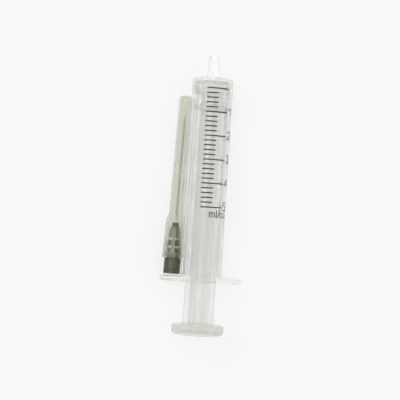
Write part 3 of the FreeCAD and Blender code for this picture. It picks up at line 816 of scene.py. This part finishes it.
class SYRINGE_OT_scale(bpy.types.Operator):
    """Print the scale: marks, numbers and the unit, as thin ink on the barrel's wall"""

    bl_idname = "syringe.scale"
    bl_label = "Printed scale"

    def execute(self, context):
        """Strips of ink follow pen paths laid on the wall, round it and along it."""
        s = context.scene.syringe_print
        wall = context.scene.syringe_barrel.bore / 2 + context.scene.syringe_barrel.wall
        strips = []
        for i in range(s.steps + 1):
            y = np.full(MARK_POINTS, s.zero - i * s.step)
            end = s.start + (s.short if i % s.per_number else s.long)
            path = np.stack((np.linspace(s.start, end, MARK_POINTS) * wall, y), axis=-1)
            offset = np.array((0.0, s.stroke / 2))
            strips.append((path + offset, path - offset))

        def write(text, middle, foot, height, stretch, stroke):
            """Add a text's strips. Letters follow each other round the wall from half the text's
            width before its middle, each as wide as its own share of the stretched height."""
            advance = [LETTER_WIDTHS.get(letter, NUMBER_WIDTH) * height * stretch for letter in text]
            pen = middle - sum(advance) / 2
            for letter, step in zip(text, advance):
                origin = np.array((pen + step / 2, foot))
                for path in PEN_PATHS[letter]:
                    path = finer(path * (height * stretch, height), PEN_STEP)
                    strips.append(ribbon(path + origin, stroke))
                pen += step

        middle, height = s.number_place * wall, s.number_height
        for number in range(1, s.steps // s.per_number + 1):
            foot = s.zero - number * s.per_number * s.step + s.number_lift - height / 2
            write(str(number), middle, foot, height, s.number_stretch, s.number_stroke)
        foot = s.zero - s.steps * s.step - s.unit_drop
        write(UNIT, s.unit_place * wall, foot, s.unit_height, 1.0, s.unit_stroke)

        points, faces, total = [], [], 0
        for left, right in strips:
            strip, parts = inked(left, right, wall, s.ink)
            points.append(strip)
            faces.extend(part + total for part in parts)
            total += len(strip)
        finish = printing_ink(context.scene.syringe_finish.ink)
        thing = mesh_object("printed_scale", np.vstack(points), faces, barrel_place(context), finish)
        return settled(thing, "barrel", "scale_ink", "scale_marks")


class SYRINGE_OT_plunger(bpy.types.Operator):
    """Build the plunger: head, four ribs and thumb rest as one skin"""

    bl_idname = "syringe.plunger"
    bl_label = "Plunger"

    def execute(self, context):
        """Rings are round at the discs and cross-shaped at the ribs.

        On the flank of a rib the distance from the axis is half its thickness over the sine of the
        angle from its middle line, and on its edge the reach over the cosine. Arcs of the root's and
        the corner's radius join them, each found where a ray from the axis meets a circle.
        """
        s = context.scene.syringe_plunger
        zero = context.scene.syringe_print.zero
        half, reach, root, tip = s.rib / 2, s.reach, s.rib_root, s.rib_tip
        nose_round = 0.00025

        # Angles of an eighth of a turn: a rib's edge, its corner, its flank and half of its root,
        # and then the same the other way round
        on_edge, on_corner, on_flank, on_root = RIB_POINTS
        quarter = math.pi / 4
        first, second = math.atan((half - tip) / reach), math.atan(half / (reach - tip))
        third = math.atan(half / (half + root))
        octant = np.concatenate((
            np.linspace(0.0, first, on_edge)[:-1],
            np.linspace(first, second, on_corner)[:-1],
            second + (third - second) * np.linspace(0.0, 1.0, on_flank)[:-1] ** RIB_CROWDING,
            np.linspace(third, quarter, on_root)[:-1],
        ))
        mirrored = np.concatenate((octant, [quarter], 2 * quarter - octant[:0:-1]))
        local = np.concatenate([mirrored + i * 2 * quarter for i in range(4)])
        angles = local + s.turn

        def cross(grow):
            """Radius of the ribs' outline at each angle, moved out by grow."""
            from_rib = np.abs((local + quarter) % (2 * quarter) - quarter)
            t, far, fillet = half + grow, reach + grow, max(root - grow, 0.0)
            flank = t / np.maximum(np.sin(from_rib), TINY)
            shape = np.minimum(flank, far / np.cos(from_rib))
            centre = (t + fillet) * math.sqrt(2)
            off = quarter - from_rib
            inner = centre * np.cos(off) - half_chord(fillet, centre * np.sin(off))
            shape = np.where(from_rib > math.atan2(t, t + fillet), inner, shape)
            corner = tip + grow
            distance = math.hypot(t - corner, far - corner)
            beta = from_rib - math.atan2(t - corner, far - corner)
            bow = distance * np.cos(beta) + half_chord(corner, distance * np.sin(beta))
            low, high = math.atan2(t - corner, far), math.atan2(t, far - corner)
            return np.where((from_rib > low) & (from_rib < high), bow, shape)

        # Thumb rest: a dish with grip rings outside, its rim, and its inner face
        inner_y = -s.standoff
        outer_y = inner_y - s.rest_thickness
        floor_y = outer_y + s.dish_depth
        dish = s.dish / 2
        last_ring = dish - s.ring_width * 1.2
        floor_radius = np.linspace(SLIGHT, dish - s.dish_depth, DISH_RINGS)
        from_ring = np.abs((floor_radius + s.ring_spacing) % s.ring_spacing - s.ring_spacing / 2)
        bump = s.ring_height * window(from_ring, s.ring_width / 4, s.ring_width / 2)
        bump *= floor_radius < last_ring
        dish_floor = np.stack((floor_y - bump, floor_radius), axis=-1)
        rim = rounded([
            (floor_y, dish - s.dish_depth - FINE),
            (floor_y, dish - s.dish_depth * 0.8, s.dish_depth * 0.4),
            (outer_y, dish, s.dish_depth * 0.4),
            (outer_y, s.rest / 2, s.outer_round),
            (inner_y, s.rest / 2, s.inner_round),
            (inner_y, reach + s.rib_end + FULL),
        ], steps=9)

        # Ribs: they flare into the thumb rest by a fillet and end at the head, whose disc, waist
        # and plate follow
        fillet, head_y, plate_y = s.rib_end, zero - s.head, zero - s.plate
        foot = [
            (inner_y + fillet * (1 - math.cos(t)), cross(fillet * (1 - math.sin(t))))
            for t in np.linspace(0.0, math.pi / 2, 7)
        ]
        plain = cross(0.0)
        waist = [(head_y + s.disc, plain), (plate_y, plain)]
        back = rounded([
            (head_y, s.body - FULL),
            (head_y, s.body, FINE),
            (head_y + s.lip / 4, s.seal, s.lip / 4),
            (head_y + s.lip, s.seal, s.lip / 8),
            (head_y + s.lip, s.body, CRISP),
            (head_y + s.disc, s.body, FINE),
            (head_y + s.disc, s.body - FULL),
        ])
        nose_y = zero + s.nose + (s.body - s.nose_flat) * math.tan(context.scene.syringe_barrel.cone)
        front = rounded([
            (plate_y, s.body - FULL),
            (plate_y, s.body, FINE),
            (zero - s.lip, s.body, CRISP),
            (zero - s.lip * 0.75, s.seal, s.lip / 4),
            (zero, s.seal, s.lip / 8),
            (zero, s.body, CRISP),
            (zero + s.nose, s.body, nose_round),
            (nose_y, s.nose_flat, SLIGHT),
            (nose_y, SLIGHT),
        ])

        def shaped(sections):
            """Rings of sections, each a place on the axis and the radius at each angle."""
            return np.concatenate([rings([y], shape[None], angles) for y, shape in sections])

        grid = np.concatenate((
            rings(*np.vstack((dish_floor, rim)).T, angles),
            shaped(foot + [(head_y, plain)]),
            rings(*back.T, angles),
            shaped(waist),
            rings(*front.T, angles),
        ))
        points, faces = ringed(grid, True)
        look = context.scene.syringe_finish
        finish = moulded_clear("natural_plunger", look.plunger, look.plunger_rim)
        thing = mesh_object("plunger_moulding", points, faces, barrel_place(context), finish)
        return settled(thing, "plunger", "clear_plunger", "plunger")


class SYRINGE_OT_hub(bpy.types.Operator):
    """Build the needle hub: socket, lugs, band, ribbed body and neck as one skin"""

    bl_idname = "syringe.hub"
    bl_label = "Needle hub"

    def execute(self, context):
        """The core's radius follows a profile. Ribs and rings add to it by smooth windows of the angle
        and of the distance along the hub, and a painted sheen, standing in for highlights, follows their
        edges. A lug reaches out to its end or to its side, which is half its width over the sine of the
        angle from its middle line."""
        s = context.scene.syringe_needle
        look = context.scene.syringe_finish
        angles = even_angles(NEEDLE_SIDES)
        base, band = s.hub_base / 2, s.band / 2
        foot, top, neck = s.body_foot / 2, s.body_top / 2, s.neck / 2
        band_y = s.hub_base_length + s.band_length
        body_y = band_y + s.body_length
        end_y = body_y + s.neck_length
        soft = s.hub_round

        lug_y, lug_reach = rounded([
            (0.0, s.socket_mouth / 2 + s.socket_chamfer),
            (0.0, s.lugs / 2, soft),
            (s.lug_thickness, s.lugs / 2, soft),
            (s.lug_thickness, base),
        ], steps=5)[1:-1].T
        offset = (angles - s.lug_turn + math.pi / 2) % math.pi - math.pi / 2
        side = s.lug_width / 2 / np.maximum(np.abs(np.sin(offset)), TINY)
        lug_reach = lug_reach[:, None]
        lug_radius = np.maximum(np.minimum(lug_reach, side), np.minimum(base, lug_reach))

        middle = rounded([
            (s.lug_thickness + CRISP, base),
            (s.hub_base_length, base, soft),
            (s.hub_base_length, band, CRISP),
            (band_y, band, soft),
            (band_y, foot + s.hub_rib_height, CRISP),
            (band_y + FINE, foot),
        ], steps=5)[:-1]

        y = np.linspace(band_y + LEDGE, body_y, BODY_RINGS)
        core = foot + (top - foot) * (y - band_y) / s.body_length
        crest_width = s.hub_rib_width - 2 * s.hub_rib_edge
        rib = bars_round(angles, s.hub_ribs, s.hub_rib_turn, foot, s.hub_rib_width, RIB_BLEND)
        crest = bars_round(angles, s.hub_ribs, s.hub_rib_turn, foot, crest_width, SLIGHT)
        half_ring = s.hub_ring_width / 2
        ring = sum(window(y - band_y - at, half_ring, RIB_BLEND) for at in (s.first_ring, s.second_ring))
        ring = ring[:, None]
        body = core[:, None] + np.maximum(rib * s.hub_rib_height, ring * s.hub_ring_height)
        body -= np.maximum(y - body_y + SOFT, 0.0)[:, None] ** 2 / (2 * SOFT)

        seat = s.cannula / 2 + s.seat_gap
        socket_end = s.socket_mouth / 2 - s.socket_depth * LUER_SLOPE
        inside = rounded([
            (body_y, top),
            (body_y + LEDGE, neck, FINE),
            (end_y, neck, soft / 2),
            (end_y, s.bond_cup / 2, CRISP),
            (end_y - s.bond_depth / 3, s.bond_cup / 2, FINE),
            (end_y - s.bond_depth, seat),
            (s.socket_depth + socket_end - seat, seat),
            (s.socket_depth, socket_end, SOFT),
            (s.socket_chamfer, s.socket_mouth / 2, FINE),
            (0.0, s.socket_mouth / 2 + s.socket_chamfer),
        ], steps=5)[1:]

        # Painted sheen: highlights painted along the ribs' edges and on the rings, less on the ribs'
        # crests, and a paler tone painted on the band and on the body past the second ring
        past = y > band_y + s.second_ring + half_ring
        sheen_share = np.maximum(rib - (1 - look.hub_crest_frost) * crest, ring * (1 - rib))
        on_band = middle[:, 0] > s.hub_base_length + FINE
        parts = (
            (rings(lug_y, lug_radius, angles), 0.0),
            (rings(*middle.T, angles), look.hub_band_frost * on_band[:, None]),
            (rings(y, body, angles), np.maximum(sheen_share, look.hub_body_frost * past[:, None])),
            (rings(*inside.T, angles), 0.0),
        )
        sheen_mask = np.concatenate([np.broadcast_to(value, part.shape[:2]) for part, value in parts])
        points, faces = ringed(np.concatenate([part for part, _ in parts]), False)
        finish = hub_plastic(look.hub, look.hub_face)
        thing = mesh_object("hub_moulding", points, faces, needle_place(context), finish)
        # The painted sheen's share at each point, which the hub's material reads
        sheened = thing.data.attributes.new("sheened", "FLOAT", "POINT")
        sheened.data.foreach_set("value", np.clip(sheen_mask, 0.0, 1.0).astype(np.float32).ravel())
        return settled(thing, "barrel", "hub_plastic", "needle_hub")


class SYRINGE_OT_cannula(bpy.types.Operator):
    """Build the cannula: a steel tube with a point of three ground facets"""

    bl_idname = "syringe.cannula"
    bl_label = "Cannula"

    def execute(self, context):
        """Both walls end where the lowest of three sloping planes meets them: along the tube, a
        plane stands at the tip less the height above the lowest line over the tangent of its angle."""
        s = context.scene.syringe_needle
        angles = even_angles(CANNULA_SIDES)
        outer, inner = s.cannula / 2, s.lumen / 2
        facets = ((0.0, s.bevel), (s.side_turn, s.side_bevel), (-s.side_turn, s.side_bevel))

        def facet_end(radius):
            """Place along the tube where the lowest plane ends a wall of this radius."""
            x, z = radius * np.sin(angles), radius * np.cos(angles)
            return np.minimum.reduce([
                s.cannula_tip - (z * math.cos(turn) + x * math.sin(turn) + outer) / math.tan(slope)
                for turn, slope in facets
            ])

        # Rings stand square up to where the point starts, and then lean over step by step
        steps = np.linspace(0.0, 1.0, POINT_RINGS)[:, None]
        point_length = 0.0045
        straight = s.cannula_tip - point_length
        walls = []
        for radius, order in ((outer, 1), (inner, -1)):
            y = straight + (facet_end(radius) - straight) * steps
            y = np.vstack((np.full(len(angles), s.cannula_start), y))
            walls.append(rings(y, np.full(len(y), radius), angles)[::order])
        points, faces = ringed(np.concatenate(walls), False)
        finish = drawn_steel(context.scene.syringe_finish.steel)
        thing = mesh_object("steel_cannula", points, faces, needle_place(context), finish)
        return settled(thing, "barrel", "needle_steel", "cannula")


class SYRINGE_OT_bond(bpy.types.Operator):
    """Build the bead of adhesive that holds the cannula in the hub's neck"""

    bl_idname = "syringe.bond"
    bl_label = "Adhesive bead"

    def execute(self, context):
        """A profile turned about the cannula, with a side that sags inwards like a drop: the radius
        falls from the neck's to the top's with the share of the height left, raised to a power."""
        s = context.scene.syringe_needle
        end_y = s.hub_base_length + s.band_length + s.body_length + s.neck_length
        sag, cap = 1.6, 0.00006
        cup_y, top_y = end_y - s.bond_depth, end_y + s.bond_height + cap
        inner, foot, top = s.cannula / 2, s.neck / 2 - s.hub_round, s.bond_top / 2
        rise = np.linspace(0.0, 1.0, BEAD_RINGS)
        side = np.stack((end_y + rise * s.bond_height, top + (foot - top) * (1 - rise) ** sag), axis=-1)
        profile = np.vstack((
            [(cup_y, inner), (cup_y, inner + s.seat_gap)],
            [(end_y - s.bond_depth / 3, s.bond_cup / 2), (end_y, s.bond_cup / 2)],
            side,
            [(top_y, top - KEEN), (top_y, inner)],
        ))
        points, faces = ringed(rings(*profile.T, even_angles(CANNULA_SIDES)), False)
        look = context.scene.syringe_finish
        finish = moulded_clear("clear_adhesive", look.bond, look.bond)
        thing = mesh_object("adhesive_bead", points, faces, needle_place(context), finish)
        return settled(thing, "barrel", "bond_resin", "needle_bond")


class SYRINGE_OT_sheath(bpy.types.Operator):
    """Build the needle sheath: a closed cap with grip ridges outside and grip ribs inside"""

    bl_idname = "syringe.sheath"
    bl_label = "Needle sheath"

    def execute(self, context):
        """Both skins follow a profile. Ridges raise the outer one with the distance from the rim,
        and short ribs push the inner one in near the mouth."""
        s = context.scene.syringe_needle
        angles = even_angles(NEEDLE_SIDES)
        wall, mouth_y = s.sheath_wall, s.sheath_mouth
        skirt_y = mouth_y + s.skirt_length
        tube_y = skirt_y + s.skirt_slope
        end_y = mouth_y + s.sheath_length
        skirt_bend, tube_bend, ring_step, lead_in = 0.001, 0.002, 0.0004, 0.00003

        def dense(profile, step):
            """The profile with points added at even steps of y along the skirt, each at its own
            distance run along the profile."""
            runs = np.linalg.norm(np.diff(profile, axis=0), axis=1)
            at = np.concatenate(([0.0], np.cumsum(runs)))
            extra = np.interp(np.arange(mouth_y, tube_y, step), profile[:, 0], at)
            where = np.unique(np.round(np.concatenate((at, extra)), 9))
            return np.interp(where, at, profile[:, 0]), np.interp(where, at, profile[:, 1])

        y, outer = dense(rounded([
            (mouth_y, s.skirt_mouth / 2 - wall / 2),
            (mouth_y, s.skirt_mouth / 2, s.rim_round),
            (skirt_y, s.skirt_end / 2, skirt_bend),
            (tube_y, s.tube / 2, tube_bend),
            (end_y, s.tube_tip / 2, s.tip_round),
            (end_y, POLE),
        ], steps=9), ring_step)
        start = mouth_y + s.ridge_inset
        grown = np.clip((y - start) / (skirt_y - start), 0.0, 1.0) * (y < skirt_y + SLIGHT)
        faded = np.clip((tube_y - y) / s.skirt_slope, 0.0, 1.0) * (y >= skirt_y + SLIGHT)
        ridge = bars_round(angles, s.ridges, 0.0, s.skirt_mouth / 2, s.ridge_width, SLIGHT)
        outer = outer[:, None] + ridge * ((grown + faded) * s.ridge_height)[:, None]

        bore = s.skirt_mouth / 2 - wall
        grip_y = mouth_y + s.grip_length
        inner_y, inner = rounded([
            (end_y - wall, POLE),
            (end_y - wall, s.tube_tip / 2 - wall, s.tip_round - wall / 2),
            (tube_y, s.tube / 2 - wall, tube_bend),
            (skirt_y, s.skirt_end / 2 - wall, skirt_bend),
            (grip_y + FINE, bore - KEEN),
            (grip_y, bore - KEEN),
            (mouth_y + lead_in, bore),
            (mouth_y, bore),
        ], steps=9).T
        grip = bars_round(angles, s.grips, 0.0, s.band / 2, s.grip_width, RIB_BLEND)
        near = (inner_y < grip_y + CRISP) & (inner_y > mouth_y + HAIR)
        push = np.where(near, inner - (s.band / 2 + s.grip_clearance), 0.0)
        inner = inner[:, None] - grip * push[:, None]

        grid = np.concatenate((rings(inner_y, inner, angles), rings(y, outer, angles)))
        points, faces = ringed(grid, True)
        look = context.scene.syringe_finish
        finish = moulded_clear("clear_sheath", look.sheath, look.sheath_rim)
        thing = mesh_object("sheath_moulding", points, faces, needle_place(context), finish)
        return settled(thing, "sheath", "clear_sheath", "needle_sheath")


# Name, place, size and power of each soft lamp, in metres and watts
LAMPS = (
    ("key_softbox", (-0.30, 0.25, 0.75), 0.85, 3.4),
    ("fill_softbox", (0.50, -0.15, 0.65), 0.9, 1.6),
)
SENSOR_WIDTH = 36.0


class SYRINGE_OT_stage(bpy.types.Operator):
    """Set the floor, the soft light, the white surroundings and the camera"""

    bl_idname = "syringe.stage"
    bl_label = "Stage"

    def execute(self, context):
        """The camera stands straight over the syringe, turned so that the barrel leans as it should.
        The floor fades to white with the distance, so that no edge of it shows from low down."""
        scene = context.scene
        s = scene.syringe_stage
        scene.view_settings.view_transform = "Standard"

        half = s.floor_size / 2
        corners = [(-half, -half, 0.0), (half, -half, 0.0), (half, half, 0.0), (-half, half, 0.0)]
        mesh = bpy.data.meshes.new("floor")
        mesh.from_pydata(corners, [], [(0, 1, 2, 3)])
        finish, nodes, shader = new_finish("pale_floor")
        nodes.feed(shader, {"Base Color": (*s.floor, 1.0), "Roughness": 0.9, "Specular IOR Level": 0.1})
        away = nodes.add("VectorMath", {0: nodes.points()}, operation="LENGTH").outputs["Value"]
        fade = {"Value": away, "From Min": s.near, "From Max": s.far, "To Min": s.lift, "To Max": 1.0}
        lift = nodes.add("MapRange", fade, interpolation_type="SMOOTHSTEP").outputs["Result"]
        white = nodes.add("Emission", {"Strength": 1.0}).outputs[0]
        seen = nodes.math("MULTIPLY", nodes.in_sight(), lift)
        mixed = nodes.add("MixShader", {0: seen, 1: shader.outputs[0], 2: white}).outputs[0]
        nodes.feed(nodes.own("OUTPUT_MATERIAL"), {"Surface": mixed})
        mesh.materials.append(finish)
        floor = bpy.data.objects.new("floor", mesh)
        scene.collection.objects.link(floor)

        world = bpy.data.worlds.new("white_room")
        scene.world = world
        world.use_nodes = True
        nodes = Nodes(world.node_tree)
        strength = nodes.between(nodes.in_sight(), low=s.ambient, high=1.0)
        nodes.feed(nodes.own("BACKGROUND"), {"Strength": strength, "Color": (1.0, 1.0, 1.0, 1.0)})

        for name, where, size, power in LAMPS:
            lamp = bpy.data.lights.new(name, "AREA")
            lamp.shape = "SQUARE"
            lamp.size = size
            lamp.energy = power
            light = bpy.data.objects.new(name, lamp)
            x, y, z = light.location = where
            light.rotation_euler = (math.atan2(math.hypot(x, y), z), 0.0, math.atan2(y, x) + math.pi / 2)
            scene.collection.objects.link(light)

        camera_data = bpy.data.cameras.new("camera")
        camera_data.sensor_width = SENSOR_WIDTH
        camera_data.lens = SENSOR_WIDTH * s.distance / s.width
        camera_data.clip_start = 0.01
        camera = bpy.data.objects.new("camera", camera_data)
        camera.location = (s.target[0], s.target[1], s.target[2] + s.distance)
        camera.rotation_euler = (0.0, 0.0, s.lean)
        scene.collection.objects.link(camera)
        scene.camera = camera
        return {"FINISHED"}


STEPS = (
    SYRINGE_OT_stage,
    SYRINGE_OT_barrel,
    SYRINGE_OT_scale,
    SYRINGE_OT_plunger,
    SYRINGE_OT_hub,
    SYRINGE_OT_cannula,
    SYRINGE_OT_bond,
    SYRINGE_OT_sheath,
)
GROUPS = {
    "syringe_barrel": BarrelSizes,
    "syringe_print": PrintSizes,
    "syringe_plunger": PlungerSizes,
    "syringe_needle": NeedleSizes,
    "syringe_finish": FinishColours,
    "syringe_stage": StageSettings,
}


class SYRINGE_PT_panel(bpy.types.Panel):
    """Lists the steps and the sizes and colours that they use"""

    bl_idname = "SYRINGE_PT_panel"
    bl_label = "Syringe"
    bl_space_type = "VIEW_3D"
    bl_region_type = "UI"
    bl_category = "Syringe"

    def draw(self, context):
        """A button for each step, and a box for each group of settings."""
        for step in STEPS:
            self.layout.operator(step.bl_idname)
        for name in GROUPS:
            group = getattr(context.scene, name)
            box = self.layout.box()
            for key in group.__annotations__:
                box.prop(group, key)


def register():
    """Add the groups of settings, the steps and the panel."""
    for group in GROUPS.values():
        bpy.utils.register_class(group)
    for name, group in GROUPS.items():
        setattr(bpy.types.Scene, name, PointerProperty(type=group))
    for step in STEPS:
        bpy.utils.register_class(step)
    bpy.utils.register_class(SYRINGE_PT_panel)


def unregister():
    """Take them away again, last first."""
    bpy.utils.unregister_class(SYRINGE_PT_panel)
    for step in reversed(STEPS):
        bpy.utils.unregister_class(step)
    for name, group in GROUPS.items():
        delattr(bpy.types.Scene, name)
        bpy.utils.unregister_class(group)


def main():
    """Build everything in order."""
    register()
    bpy.ops.syringe.stage()
    bpy.ops.syringe.barrel()
    bpy.ops.syringe.scale()
    bpy.ops.syringe.plunger()
    bpy.ops.syringe.hub()
    bpy.ops.syringe.cannula()
    bpy.ops.syringe.bond()
    bpy.ops.syringe.sheath()


if __name__ == "__main__":
    main()
